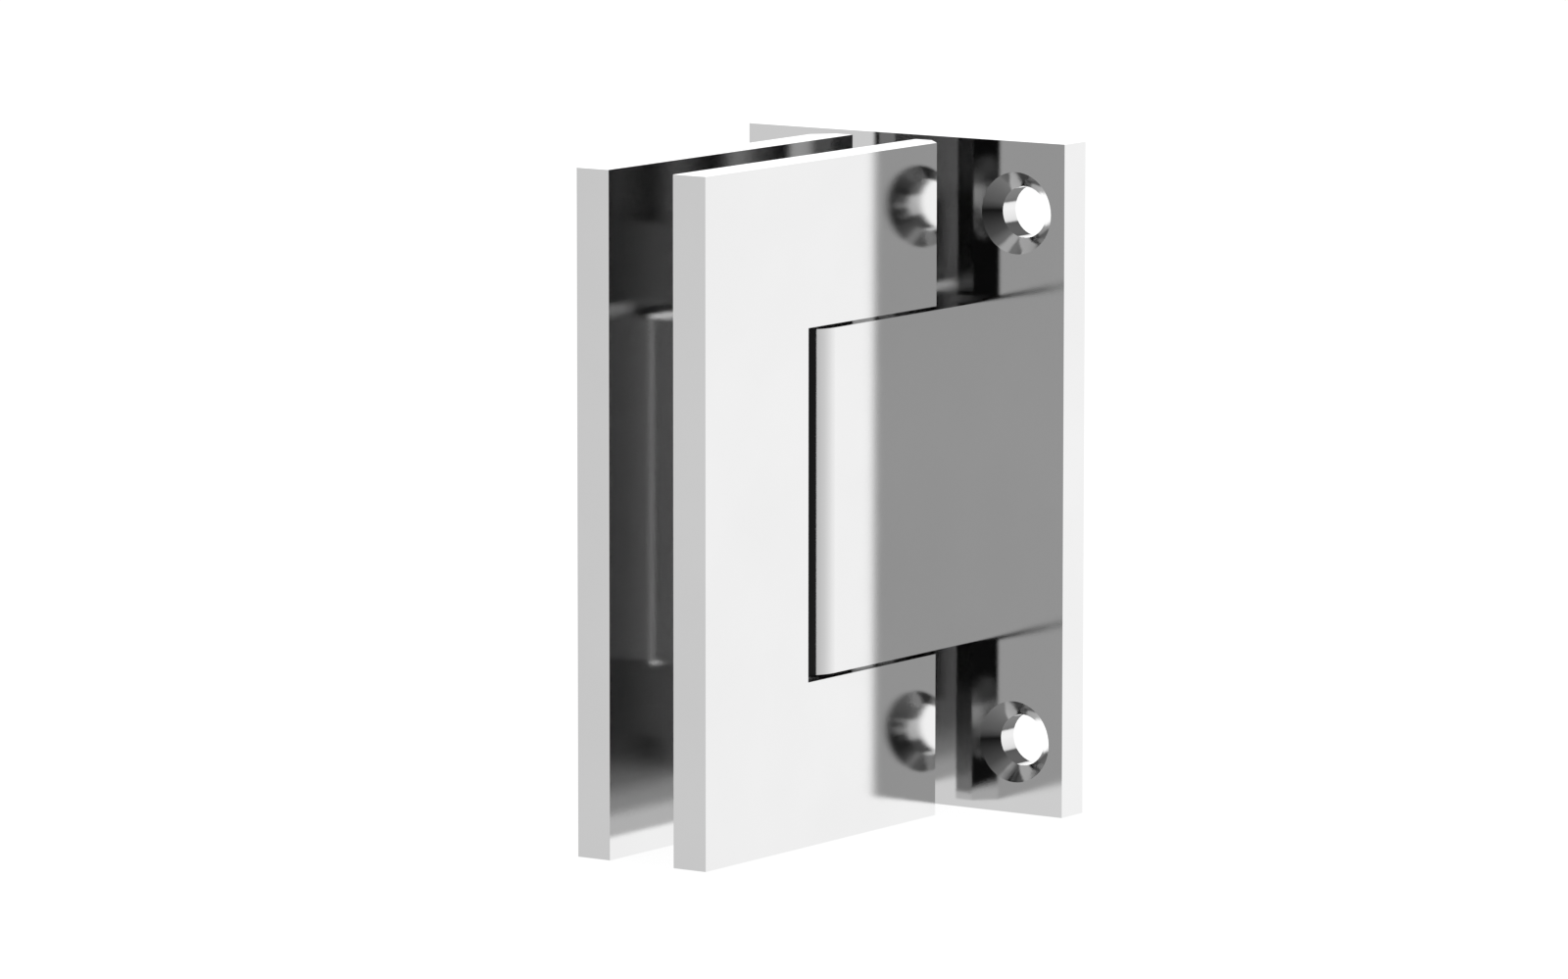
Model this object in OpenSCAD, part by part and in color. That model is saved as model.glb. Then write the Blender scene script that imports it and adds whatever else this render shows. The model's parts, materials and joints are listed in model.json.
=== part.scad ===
// Glass door hinge, wall to glass: a wall plate with a pivot block, and a
// two-plate clamp that holds the edge of a glass door and swings on a pin.
// Millimetres. The origin is the centre of the wall plate's back face.
// +Y points into the wall, +Z is up and parallel to the pivot axis, and the
// door runs out along -Y. -X is the side that the clamp screws are on.

/* [Plates] */
// Height of the wall plate and of both clamp plates
plate_h = 88.9; // [86:0.1:110]
// Thickness of the three plates
plate_t = 5; // [4.8:0.1:6]
// Width of a clamp plate, from its free end to its wall end
clamp_w = 55; // [52:0.5:70]
// Width of the wall plate
wall_w = 50; // [48:1:70]
// Gap between the two clamp plates, for the glass
glass_gap = 10; // [10:0.5:12]
// Gap between the clamp plates and the wall plate
wall_gap = 5; // [4.5:0.25:7]
// Chamfer on the outer upright edge at the clamp's wall end
wall_end_chamfer = 2.5; // [0.5:0.1:3]

/* [Notch and pivot block] */
// Depth of the notch in each clamp plate, from the wall end
notch_d = 32; // [31.5:0.25:36]
// Height of the notch
notch_h = 46; // [45.9:0.05:46.4]
// Height of the pivot block
block_h = 45; // [44.5:0.1:45.2]
// Length of the pivot block, out from the wall plate
block_l = 36; // [35:0.25:36]
// Radius of the pivot block's two free upright corners
block_r = 5; // [4:0.25:6]
// Distance of the pivot axis from the wall plate's front face
pivot_off = 23.5; // [23:0.1:24]

/* [Wall holes] */
// Spacing of the wall holes across the plate
hole_sx = 35; // [34:0.5:38]
// Spacing of the wall holes up the plate
hole_sz = 70; // [68:0.5:72]
// Diameter of the wall holes
hole_d = 6.8; // [5:0.1:7]
// Diameter of the countersinks of the wall holes
hole_csk_d = 10.8; // [8:0.1:11]

/* [Pin and bushes] */
// Diameter of the pin where it turns in the bushes
pin_d = 8; // [7:0.1:8.2]
// Diameter of the pin's detent cam
cam_d = 11; // [10.5:0.1:11.2]
// Distance across two opposite flats of the cam
cam_flats = 9.4; // [9.2:0.1:9.8]
// Length of the cam
cam_l = 26; // [24:0.5:26]
// Outer diameter of the bushes
bush_d = 11.76; // [11.6:0.02:11.76]
// Diameter of the bush flanges and of the thrust washers
flange_d = 12.6; // [12.4:0.1:14.4]
// Thickness of the bush flanges
flange_t = 1.2; // [0.8:0.1:1.5]
// Length of a pin carrier, along the plate
carrier_l = 10; // [9.4:0.1:11]
// Height of a pin carrier
carrier_h = 11; // [10.8:0.1:12]

/* [Detent] */
// Height of the upper plunger above the middle of the hinge
plunger_z = 6.5; // [6:0.1:7]
// Diameter of the plungers
plunger_d = 7.9; // [7:0.1:7.9]
// Stroke of the plungers, from the cam's round to its flats
plunger_stroke = 0.8; // [0.5:0.05:0.8]
// Diameter of the spring wire
wire_d = 1; // [0.8:0.05:1]
// Turns of each spring
spring_turns = 5; // [4:0.5:5]

/* [Screws] */
// Distance of the clamp screws from the middle, up and down
clamp_screw_z = 29; // [28.6:0.1:29.4]
// Distance of the block screws from the middle, up and down
block_screw_z = 16.5; // [16:0.1:16.8]

/* [Hidden] */
$fn = 64;
eps = 0.01;

// places along Y
wall_front = -plate_t;
pivot_y = wall_front - pivot_off;
clamp_far = wall_front - wall_gap;
clamp_near = clamp_far - clamp_w;
notch_y = clamp_far - notch_d;
block_end = wall_front - block_l;

// the block is as wide as the clamp, face to face
block_w = glass_gap + 2 * plate_t;
x_in = glass_gap / 2;
x_out = x_in + plate_t;

// pin, bushes and carriers
bore_d = bush_d + 0.04;
journal_gap = 0.03;
carrier_z = notch_h / 2 - 0.05;
washer_t = carrier_z - block_h / 2 - 0.03;
pin_end = clamp_screw_z + 3.2;

// detent: the plungers are drawn at the wall end of their stroke, where the
// round part of the cam just passes them
plunger_front = pivot_y + cam_d / 2 + 0.08;
plunger_body = 6;
plunger_back = plunger_front + plunger_body;
plunger_bore = plunger_d + 0.1;
screw_front = -plate_t - 5;
spring_screw_d = 10;
stem_d = 4;
spring_mean = 6.1;
spring_len = screw_front - plunger_back - 0.04;

// countersunk screws: thread, head, clearance hole, key size
m6 = [6, 11.2, 6.6, 4];
m5 = [5, 9.6, 5.3, 3];

color_chrome = [0.80, 0.81, 0.82];
color_steel = [0.62, 0.63, 0.65];
color_polymer = [0.16, 0.16, 0.17];
color_brass = [0.78, 0.62, 0.32];

// a countersunk screw: its head's top is at the origin and it runs along -Z
module screw(s, len) {
    head = (s[1] - s[0]) / 2;
    difference() {
        union() {
            translate([0, 0, -head]) cylinder(d1 = s[0], d2 = s[1], h = head);
            translate([0, 0, -len + s[0] * 0.1])
                cylinder(d = s[0], h = len - head - s[0] * 0.1 + eps);
            translate([0, 0, -len])
                cylinder(d1 = s[0] * 0.8, d2 = s[0], h = s[0] * 0.1 + eps);
        }
        translate([0, 0, -s[0] * 0.42])
            cylinder(d = s[3] / cos(30), h = s[0] * 0.42 + 1, $fn = 6);
    }
}

// the countersunk clearance hole for such a screw, with its mouth at the
// origin, through a plate of thickness t
module screw_hole(s, t) {
    head = (s[1] + 0.4 - s[2]) / 2;
    translate([0, 0, -t - 1]) cylinder(d = s[2], h = t + 2);
    translate([0, 0, -head])
        cylinder(d1 = s[2], d2 = s[1] + 0.4, h = head);
    cylinder(d = s[1] + 0.4, h = 1);
}

// puts a child that runs along -Z into the clamp's -X face, over the pin
module from_clamp_face(z) {
    translate([-x_out, pivot_y, z]) rotate([0, -90, 0]) children();
}

// puts a child that runs along -Z into the wall plate's back face
module from_wall_face(z) {
    translate([0, 0, z]) rotate([-90, 0, 0]) children();
}

// the four holes in the wall plate, countersunk from the front
module wall_holes() {
    csk = (hole_csk_d - hole_d) / 2;
    for (x = [-1, 1], z = [-1, 1])
        translate([x * hole_sx / 2, 0, z * hole_sz / 2]) rotate([90, 0, 0]) {
            translate([0, 0, -1]) cylinder(d = hole_d, h = plate_t + 2);
            translate([0, 0, plate_t - csk])
                cylinder(d1 = hole_d, d2 = hole_csk_d, h = csk);
            translate([0, 0, plate_t]) cylinder(d = hole_csk_d, h = 1);
        }
}

module wall_plate() {
    color(color_chrome)
    difference() {
        translate([-wall_w / 2, -plate_t, -plate_h / 2])
            cube([wall_w, plate_t, plate_h]);
        wall_holes();
        for (z = [-1, 1])
            from_wall_face(z * block_screw_z) screw_hole(m6, plate_t);
    }
}

// outline of the block from above: square at the wall, round at its free end
module block_outline() {
    translate([-block_w / 2, block_end + block_r])
        square([block_w, block_l - block_r]);
    translate([-block_w / 2 + block_r, block_end])
        square([block_w - 2 * block_r, block_r + 1]);
    for (x = [-1, 1])
        translate([x * (block_w / 2 - block_r), block_end + block_r])
            circle(r = block_r);
}

module pivot_block() {
    color(color_chrome)
    difference() {
        translate([0, 0, -block_h / 2])
            linear_extrude(height = block_h) block_outline();
        // pin bore, with a seat for a bush flange at each end
        translate([0, pivot_y, -block_h])
            cylinder(d = bore_d, h = 2 * block_h);
        for (s = [-1, 1])
            translate([0, pivot_y, s * block_h / 2])
                mirror([0, 0, s < 0 ? 1 : 0])
                    translate([0, 0, -flange_t])
                        cylinder(d = flange_d + 0.1, h = flange_t + 1);
        // plunger bores, tapped at the wall end for the spring screws
        for (s = [-1, 1]) translate([0, 0, s * plunger_z]) {
            translate([0, pivot_y, 0]) rotate([-90, 0, 0])
                cylinder(d = plunger_bore, h = pivot_off + 1);
            translate([0, screw_front - 0.6, 0]) rotate([-90, 0, 0])
                cylinder(d = spring_screw_d + 0.04, h = 8);
        }
        // tapped holes for the block screws
        for (s = [-1, 1])
            translate([0, wall_front - 13, s * block_screw_z])
                rotate([-90, 0, 0]) cylinder(d = m6[0] + 0.04, h = 14);
    }
}

module block_screw(s) {
    color(color_steel)
    translate([0, -0.1, 0]) from_wall_face(s * block_screw_z) screw(m6, 16.5);
}

// flanged bush for one end of the pin bore, flush with the block
module bush(s) {
    color(color_polymer)
    translate([0, pivot_y, 0]) mirror([0, 0, s < 0 ? 1 : 0])
    rotate_extrude() polygon([
        [pin_d / 2 + journal_gap, cam_l / 2 + 0.5],
        [bush_d / 2 - 0.3, cam_l / 2 + 0.5],
        [bush_d / 2, cam_l / 2 + 0.8],
        [bush_d / 2, block_h / 2 - flange_t],
        [flange_d / 2, block_h / 2 - flange_t],
        [flange_d / 2, block_h / 2],
        [pin_d / 2 + journal_gap, block_h / 2]
    ]);
}

// thin plastic washer that carries the door's weight, between carrier and block
module thrust_washer(s) {
    color(color_polymer)
    translate([0, pivot_y, 0]) mirror([0, 0, s < 0 ? 1 : 0])
    translate([0, 0, block_h / 2]) difference() {
        cylinder(d = flange_d, h = washer_t);
        translate([0, 0, -1]) cylinder(d = pin_d + 0.4, h = washer_t + 2);
    }
}

// plunger with a flat nose and a stem that guides the spring
module plunger(s) {
    color(color_brass)
    translate([0, plunger_front, s * plunger_z]) rotate([-90, 0, 0])
    rotate_extrude() polygon([
        [0, 0], [plunger_d / 2 - 0.4, 0], [plunger_d / 2, 0.4],
        [plunger_d / 2, plunger_body], [stem_d / 2, plunger_body],
        [stem_d / 2, plunger_body + 2.7], [stem_d / 2 - 0.3, plunger_body + 3],
        [0, plunger_body + 3]
    ]);
}

// compression spring with closed end turns, swept along its own helix
function spring_rise(t) =
    let (e = 0.75, c = wire_d * 1.03,
         total = spring_len - wire_d,
         mid = (total - 2 * e * c) / (spring_turns - 2 * e))
    t < e ? t * c
    : t > spring_turns - e ? total - (spring_turns - t) * c
    : e * c + (t - e) * mid;

module spring(s) {
    sides = 10;
    step = 20;
    rings = spring_turns * 360 / step;
    points = [for (i = [0 : rings], j = [0 : sides - 1])
        let (t = i * step / 360, a = i * step, b = j * 360 / sides,
             r = spring_mean / 2 + wire_d / 2 * cos(b))
        [r * cos(a), r * sin(a), wire_d / 2 + spring_rise(t)
            + wire_d / 2 * sin(b)]];
    faces = concat(
        [[for (j = [0 : sides - 1]) j]],
        [for (i = [0 : rings - 1], j = [0 : sides - 1])
            let (k = (j + 1) % sides)
            [i * sides + j, (i + 1) * sides + j,
             (i + 1) * sides + k, i * sides + k]],
        [[for (j = [sides - 1 : -1 : 0]) rings * sides + j]]);
    color(color_steel)
    translate([0, plunger_back + 0.02, s * plunger_z]) rotate([-90, 0, 0])
        polyhedron(points = points, faces = faces, convexity = 8);
}

// headless screw that closes a plunger bore and sets the spring's load
module spring_screw(s) {
    color(color_steel)
    translate([0, screw_front, s * plunger_z]) rotate([-90, 0, 0])
    difference() {
        union() {
            cylinder(d1 = spring_screw_d - 1, d2 = spring_screw_d, h = 0.5);
            translate([0, 0, 0.5 - eps])
                cylinder(d = spring_screw_d, h = 4.3 + eps);
        }
        translate([0, 0, 2]) cylinder(d = 5 / cos(30), h = 4, $fn = 6);
    }
}

// a clamp plate lying against x = 0, with its outer face at x = plate_t:
// notched for the block, chamfered on its outer edge at the wall end
module clamp_plate() {
    difference() {
        translate([0, 0, -plate_h / 2]) linear_extrude(height = plate_h)
            polygon([
                [0, clamp_near], [plate_t, clamp_near],
                [plate_t, clamp_far - wall_end_chamfer],
                [plate_t - wall_end_chamfer, clamp_far], [0, clamp_far]
            ]);
        translate([-1, notch_y, -notch_h / 2])
            cube([plate_t + 2, notch_d + 1, notch_h]);
    }
}

// plain outside, with two blind tapped holes in its inner face
module outer_clamp_plate() {
    color(color_chrome)
    difference() {
        translate([x_in, 0, 0]) clamp_plate();
        for (s = [-1, 1])
            translate([x_in - 1, pivot_y, s * clamp_screw_z])
                rotate([0, 90, 0]) cylinder(d = m5[0] + 0.04, h = plate_t);
    }
}

// countersunk on its outside for the two clamp screws
module inner_clamp_plate() {
    color(color_chrome)
    difference() {
        translate([-x_in, 0, 0]) mirror([1, 0, 0]) clamp_plate();
        for (s = [-1, 1])
            from_clamp_face(s * clamp_screw_z) screw_hole(m5, plate_t);
    }
}

// pin with a four-flat cam in its middle, cross-drilled near each end
module pivot_pin() {
    color(color_steel)
    translate([0, pivot_y, 0]) difference() {
        union() {
            translate([0, 0, -pin_end + 0.5])
                cylinder(d = pin_d, h = 2 * pin_end - 1);
            for (s = [0, 1]) mirror([0, 0, s])
                translate([0, 0, pin_end - 0.5 - eps])
                    cylinder(d1 = pin_d, d2 = pin_d - 1, h = 0.5 + eps);
            intersection() {
                translate([0, 0, -cam_l / 2]) cylinder(d = cam_d, h = cam_l);
                translate([-cam_flats / 2, -cam_flats / 2, -cam_l / 2 - 1])
                    cube([cam_flats, cam_flats, cam_l + 2]);
            }
        }
        for (s = [-1, 1])
            translate([-pin_d, 0, s * clamp_screw_z]) rotate([0, 90, 0])
                cylinder(d = m5[0] + 0.2, h = 2 * pin_d);
    }
}

// block between the clamp plates that holds one end of the pin
module pin_carrier(s) {
    color(color_steel)
    translate([0, pivot_y, 0]) mirror([0, 0, s < 0 ? 1 : 0]) difference() {
        translate([-x_in, -carrier_l / 2, carrier_z])
            cube([glass_gap, carrier_l, carrier_h]);
        translate([0, 0, carrier_z - 1])
            cylinder(d = pin_d + 0.04, h = pin_end - carrier_z + 1.3);
        translate([-x_in - 1, 0, clamp_screw_z]) rotate([0, 90, 0])
            cylinder(d = m5[2], h = glass_gap + 2);
    }
}

// screw through the inner plate, carrier and pin, into the outer plate
module clamp_screw(s) {
    color(color_steel)
    translate([0.1, 0, 0]) from_clamp_face(s * clamp_screw_z)
        screw(m5, plate_t + glass_gap + 3.4);
}

wall_plate();
pivot_block();
block_screw(1);  // upper_block_screw
block_screw(-1);  // lower_block_screw
bush(1);  // upper_bush
bush(-1);  // lower_bush
thrust_washer(1);  // upper_thrust_washer
thrust_washer(-1);  // lower_thrust_washer
spring(1);  // upper_spring
spring(-1);  // lower_spring
spring_screw(1);  // upper_spring_screw
spring_screw(-1);  // lower_spring_screw
plunger(1);  // upper_plunger
plunger(-1);  // lower_plunger
outer_clamp_plate();
inner_clamp_plate();
pivot_pin();
pin_carrier(1);  // upper_pin_carrier
pin_carrier(-1);  // lower_pin_carrier
clamp_screw(1);  // upper_clamp_screw
clamp_screw(-1);  // lower_clamp_screw
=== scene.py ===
import json
import math

import bpy
from mathutils import Matrix, Vector


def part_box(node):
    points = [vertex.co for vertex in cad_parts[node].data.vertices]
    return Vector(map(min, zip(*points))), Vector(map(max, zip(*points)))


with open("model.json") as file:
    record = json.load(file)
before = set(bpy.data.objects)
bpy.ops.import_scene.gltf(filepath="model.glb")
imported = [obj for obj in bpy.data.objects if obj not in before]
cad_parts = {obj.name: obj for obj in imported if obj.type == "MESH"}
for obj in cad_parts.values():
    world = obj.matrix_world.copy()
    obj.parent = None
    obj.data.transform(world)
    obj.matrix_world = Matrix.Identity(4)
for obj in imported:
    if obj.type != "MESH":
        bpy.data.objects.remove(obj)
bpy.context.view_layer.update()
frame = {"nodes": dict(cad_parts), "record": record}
N = frame["nodes"]
scene = bpy.context.scene
FLOOR_Z = min(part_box(n)[0].z for n in N)

# ---------------------------------------------------------------- camera
cam_data = bpy.data.cameras.new("camera")
cam = bpy.data.objects.new("camera", cam_data)
scene.collection.objects.link(cam)
scene.camera = cam
cam_data.sensor_fit = "HORIZONTAL"
cam_data.sensor_width = 36.0
cam_data.lens = 222.88079
cam_data.clip_start, cam_data.clip_end = 0.05, 60.0
cam_data.dof.use_dof = False
right = Vector((0.82263542, 0.56856897, 0.00055295))
down = Vector((0.07744344, -0.11108567, -0.99078882))
ahead = Vector((-0.56327035, 0.81510079, -0.13541494))
turn = Matrix((right, -down, -ahead)).transposed().to_4x4()
cam.matrix_world = Matrix.Translation(
    Vector((0.71025436, -1.06085117, 0.17108326))) @ turn


# ---------------------------------------------------------------- materials
def new_material(name, shader="ShaderNodeBsdfPrincipled"):
    mat = bpy.data.materials.new(name)
    mat.use_nodes = True
    tree = mat.node_tree
    tree.nodes.clear()
    out = tree.nodes.new("ShaderNodeOutputMaterial")
    bsdf = tree.nodes.new(shader)
    tree.links.new(bsdf.outputs["BSDF"], out.inputs["Surface"])
    return mat, tree, bsdf


def noise(tree, scale, detail=2.0, rough=0.5, stretch=None):
    """Object-space noise, with the scale in cycles a metre."""
    coord = tree.nodes.new("ShaderNodeTexCoord")
    tex = tree.nodes.new("ShaderNodeTexNoise")
    tex.inputs["Scale"].default_value = scale
    tex.inputs["Detail"].default_value = detail
    tex.inputs["Roughness"].default_value = rough
    if stretch:
        m = tree.nodes.new("ShaderNodeMapping")
        m.inputs["Scale"].default_value = stretch
        tree.links.new(coord.outputs["Object"], m.inputs["Vector"])
        tree.links.new(m.outputs["Vector"], tex.inputs["Vector"])
    else:
        tree.links.new(coord.outputs["Object"], tex.inputs["Vector"])
    return tex


def spread(tree, source, low, high, a=0.3, b=0.7):
    """source's values from a to b, mapped to low to high."""
    m = tree.nodes.new("ShaderNodeMapRange")
    m.inputs["From Min"].default_value = a
    m.inputs["From Max"].default_value = b
    m.inputs["To Min"].default_value = low
    m.inputs["To Max"].default_value = high
    tree.links.new(source, m.inputs["Value"])
    return m.outputs["Result"]


def tint(tree, fac, dark, light):
    m = tree.nodes.new("ShaderNodeMix")
    m.data_type = "RGBA"
    m.inputs["A"].default_value = (*dark, 1)
    m.inputs["B"].default_value = (*light, 1)
    tree.links.new(fac, m.inputs["Factor"])
    return m.outputs["Result"]


def metal(name, dark, light, rough, colour_scale=60, rough_scale=220,
          bump=0.0, bump_scale=900, bump_mm=0.01, stretch=None):
    mat, tree, bsdf = new_material(name, "ShaderNodeBsdfMetallic")
    bsdf.distribution = "BECKMANN"
    bsdf.fresnel_type = "F82"
    bsdf.inputs["Edge Tint"].default_value = (1, 1, 1, 1)
    tone = noise(tree, colour_scale, 3.0)
    tree.links.new(tint(tree, spread(tree, tone.outputs["Fac"], 0, 1), dark, light),
                   bsdf.inputs["Base Color"])
    grain = noise(tree, rough_scale, 4.0, 0.6, stretch)
    tree.links.new(spread(tree, grain.outputs["Fac"], *rough),
                   bsdf.inputs["Roughness"])
    if bump:
        fine = noise(tree, bump_scale, 3.0, 0.6, stretch)
        b = tree.nodes.new("ShaderNodeBump")
        b.inputs["Strength"].default_value = bump
        b.inputs["Distance"].default_value = bump_mm / 1000
        tree.links.new(fine.outputs["Fac"], b.inputs["Height"])
        tree.links.new(b.outputs["Normal"], bsdf.inputs["Normal"])
    return mat


grey = lambda v: (v, v, v)
CHROME = metal("chrome_plating", grey(0.494), grey(0.506), (0.116, 0.128))
STEEL = metal("screw_steel", grey(0.47), grey(0.53), (0.11, 0.15), bump=0.05)
GROUND = metal("ground_steel", grey(0.47), grey(0.53), (0.11, 0.15), bump=0.05,
               stretch=(1, 1, 12))
MILLED = metal("milled_steel", grey(0.53), grey(0.58), (0.11, 0.15), bump=0.05,
               stretch=(10, 1, 1))
WIRE = metal("spring_wire", grey(0.36), grey(0.44), (0.18, 0.28), bump=0.2)
BRASS = metal("plunger_brass", (0.60, 0.40, 0.15), (0.68, 0.47, 0.20),
              (0.16, 0.24), bump=0.1)

POLYMER, tree, bsdf = new_material("bush_polymer")
bsdf.inputs["Specular IOR Level"].default_value = 0.4
tone = noise(tree, 400, 3.0)
tree.links.new(tint(tree, spread(tree, tone.outputs["Fac"], 0, 1),
                    (0.018, 0.018, 0.020), (0.030, 0.030, 0.033)),
               bsdf.inputs["Base Color"])
tree.links.new(spread(tree, tone.outputs["Fac"], 0.42, 0.58),
               bsdf.inputs["Roughness"])

FINISH = {
    "chrome_plating": CHROME, "screw_steel": STEEL, "ground_steel": GROUND,
    "milled_steel": MILLED, "spring_wire": WIRE, "plunger_brass": BRASS,
    "bush_polymer": POLYMER,
}
slot_of = {s["node"]: s["material_slot"] for s in frame["record"]["subparts"]}
for name, obj in N.items():
    obj.data.materials.clear()
    obj.data.materials.append(FINISH[slot_of[name]])

# ---------------------------------------------------------------- floor and backdrop
def pale(name, grey_level, glow):
    """Plain pale surface that the chrome doesn't mirror: the studio below does."""
    mat = bpy.data.materials.new(name)
    mat.use_nodes = True
    tree = mat.node_tree
    tree.nodes.clear()
    out = tree.nodes.new("ShaderNodeOutputMaterial")
    add = tree.nodes.new("ShaderNodeAddShader")
    dif = tree.nodes.new("ShaderNodeBsdfDiffuse")
    dif.inputs["Color"].default_value = (grey_level, grey_level, grey_level, 1)
    emi = tree.nodes.new("ShaderNodeEmission")
    emi.inputs["Strength"].default_value = glow
    tree.links.new(dif.outputs[0], add.inputs[0])
    tree.links.new(emi.outputs[0], add.inputs[1])
    tree.links.new(add.outputs[0], out.inputs["Surface"])
    return mat


def stage_piece(name, verts, faces, mat):
    mesh = bpy.data.meshes.new(name)
    mesh.from_pydata(verts, [], faces)
    obj = bpy.data.objects.new(name, mesh)
    scene.collection.objects.link(obj)
    obj.data.materials.append(mat)
    # the studio lights the chrome from every side, so these let it by
    obj.visible_glossy = False
    obj.visible_shadow = False
    return obj


r = 12.0
z = FLOOR_Z - 0.00002
stage_piece("floor", [(-r, -r, z), (r, -r, z), (r, r, z), (-r, r, z)],
            [(0, 1, 2, 3)], pale("floor", 0.12, 0.96))

# round pale dome behind everything, seen by the camera only
rings, spokes, dome_r = 24, 64, 20.0
verts = [(0, 0, dome_r)]
for i in range(1, rings):
    a = math.pi * i / rings
    for j in range(spokes):
        b = 2 * math.pi * j / spokes
        verts.append((dome_r * math.sin(a) * math.cos(b),
                      dome_r * math.sin(a) * math.sin(b), dome_r * math.cos(a)))
verts.append((0, 0, -dome_r))
faces = [(0, 1 + (j + 1) % spokes, 1 + j) for j in range(spokes)]
for i in range(rings - 2):
    for j in range(spokes):
        k = (j + 1) % spokes
        p, q = 1 + i * spokes, 1 + (i + 1) * spokes
        faces.append((p + j, p + k, q + k, q + j))
last = len(verts) - 1
p = 1 + (rings - 2) * spokes
faces += [(last, p + j, p + (j + 1) % spokes) for j in range(spokes)]
dome = stage_piece("backdrop", verts, faces, pale("backdrop", 0.0, 1.02))
dome.visible_diffuse = False
dome.visible_transmission = False

# ---------------------------------------------------------------- soft studio light
# three tall softboxes, 120 degrees apart, with dark gaps between them, a round
# one overhead and a dim room below; all far away
world = bpy.data.worlds.new("studio")
scene.world = world
world.use_nodes = True
tree = world.node_tree
tree.nodes.clear()
out = tree.nodes.new("ShaderNodeOutputWorld")
bg = tree.nodes.new("ShaderNodeBackground")
bg.inputs["Color"].default_value = (1, 1, 1, 1)
coord = tree.nodes.new("ShaderNodeTexCoord")
xyz = tree.nodes.new("ShaderNodeSeparateXYZ")
tree.links.new(coord.outputs["Generated"], xyz.inputs["Vector"])
X, Y, Z = (xyz.outputs[k] for k in "XYZ")


def calc(op, *args):
    n = tree.nodes.new("ShaderNodeMath")
    n.operation = op
    for socket, v in zip(n.inputs, args):
        if isinstance(v, (int, float)):
            socket.default_value = v
        else:
            tree.links.new(v, socket)
    return n.outputs[0]


def step(value, at, blur):
    """0 below at, 1 above it, smooth over blur to either side."""
    n = tree.nodes.new("ShaderNodeMapRange")
    n.interpolation_type = "SMOOTHSTEP"
    n.inputs["From Min"].default_value = at - blur
    n.inputs["From Max"].default_value = at + blur
    tree.links.new(value, n.inputs["Value"])
    return n.outputs["Result"]


def ramp(value, points):
    """Straight lines between (value, result) points, results up to 2."""
    low, high = points[0][0], points[-1][0]
    n = tree.nodes.new("ShaderNodeMapRange")
    n.inputs["From Min"].default_value = low
    n.inputs["From Max"].default_value = high
    tree.links.new(value, n.inputs["Value"])
    c = tree.nodes.new("ShaderNodeFloatCurve")
    curve = c.mapping.curves[0]
    for i, (v, res) in enumerate(points):
        at = ((v - low) / (high - low), res / 2)
        if i == 0:
            curve.points[0].location = at
        elif i == len(points) - 1:
            curve.points[-1].location = at
        else:
            curve.points.new(*at)
    for q in curve.points:
        q.handle_type = "VECTOR"
    c.mapping.update()
    tree.links.new(n.outputs["Result"], c.inputs["Value"])
    return calc("MULTIPLY", c.outputs["Value"], 2.0)


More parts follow.
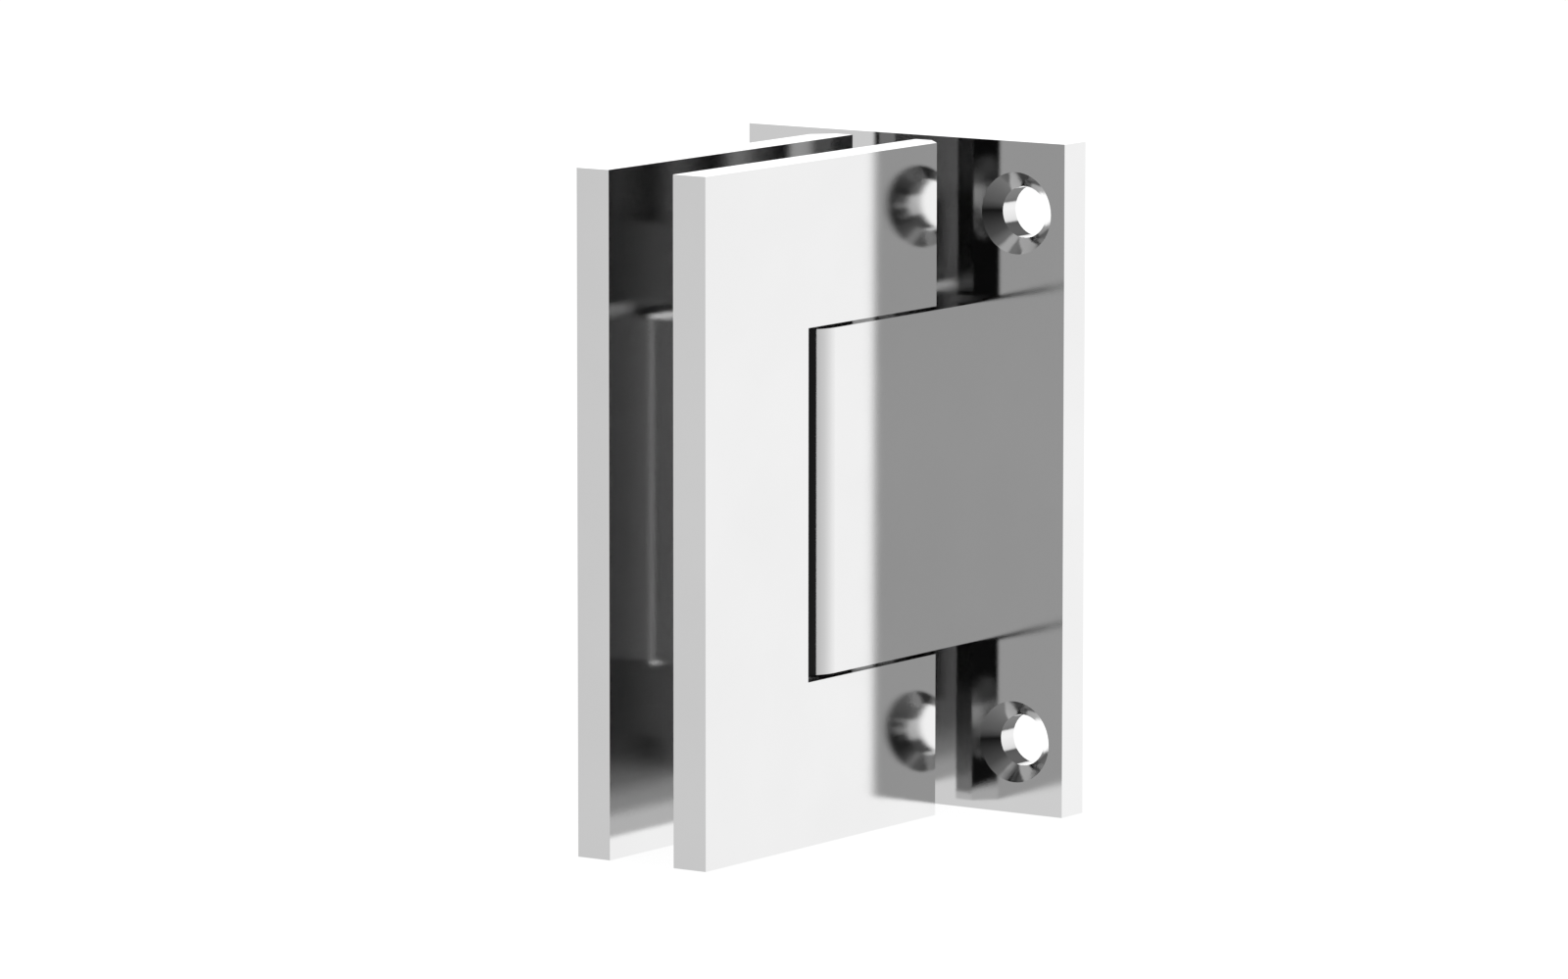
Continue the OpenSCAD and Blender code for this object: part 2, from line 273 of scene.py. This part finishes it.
def softbox(over, turn_deg, across, up, low=-0.735, high=1.24, half=0.839):
    """A tall flat softbox facing the middle, laid over the light behind it."""
    c, s = math.cos(math.radians(turn_deg)), math.sin(math.radians(turn_deg))
    ahead_of = calc("ADD", calc("MULTIPLY", X, c), calc("MULTIPLY", Y, s))
    side = calc("SUBTRACT", calc("MULTIPLY", Y, c), calc("MULTIPLY", X, s))
    near = calc("MAXIMUM", ahead_of, 0.001)
    h = calc("DIVIDE", side, near)
    v = calc("DIVIDE", Z, near)
    mask = calc("MULTIPLY", step(h, -half, 0.02), calc("SUBTRACT", 1.0, step(h, half, 0.02)))
    mask = calc("MULTIPLY", mask, step(v, low, 0.05))
    mask = calc("MULTIPLY", mask, calc("SUBTRACT", 1.0, step(v, high, 0.10)))
    mask = calc("MULTIPLY", mask, step(ahead_of, 0.02, 0.01))
    angle = calc("MULTIPLY", calc("ARCTAN2", side, ahead_of), 57.29578)
    light = calc("MULTIPLY", ramp(angle, across), ramp(v, up))
    return calc("ADD", calc("MULTIPLY", over, calc("SUBTRACT", 1.0, mask)),
                calc("MULTIPLY", light, mask))


height = calc("MULTIPLY", calc("ARCSINE", calc("MAXIMUM", calc("MINIMUM", Z, 1.0), -1.0)), 57.29578)
room = ramp(height, [(-90, .29), (-40, .20), (-30, .18), (-18, .105), (-8, .015),
                     (0, .033), (30, .10), (45, .13), (62, .25), (90, .25)])
room = calc("MULTIPLY", room, calc("ADD", calc("MULTIPLY", Y, 0.75), 1.37))
# a low one behind the wall side, so that a view square to it isn't all dark
light = softbox(room, 90.0, [(-25, 1.15), (0, 1.3), (25, 1.15)],
                [(-0.5, 1.0), (0.5, 1.0)], low=-0.42, high=0.42, half=0.36)
UP = [(-0.85, .85), (-0.3, .99), (-0.15, 1.0), (0.25, .905), (0.5, .80), (0.72, .79),
      (1.35, .45)]
light = softbox(light, 25.0, [(-42, .93), (-12, 1.18), (30, 1.71), (42, 1.76)], UP,
                half=0.824)
light = softbox(light, 155.5, [(-42, 1.66), (-10, 1.66), (20, 1.5), (42, 1.3)], UP)
light = softbox(light, -91.75, [(-42, 1.06), (-34, 1.13), (-20, 1.58), (0, 1.75),
                                (20, 1.58), (34, 1.13), (42, 1.06)], UP)
over = step(Z, 0.924, 0.012)
light = calc("ADD", calc("MULTIPLY", light, calc("SUBTRACT", 1.0, over)),
             calc("MULTIPLY", over, 0.72))
tree.links.new(light, bg.inputs["Strength"])
tree.links.new(bg.outputs[0], out.inputs["Surface"])

scene.view_settings.view_transform = "Standard"
scene.view_settings.look = "None"
scene.view_settings.exposure = 0.0
scene.view_settings.gamma = 1.0

# light passes many times between the clamp plates
scene.cycles.max_bounces = 24
scene.cycles.glossy_bounces = 24
scene.cycles.sample_clamp_indirect = 0.0
# the blurred mirror images themselves are all that there is to clean
scene.cycles.denoising_input_passes = "RGB"
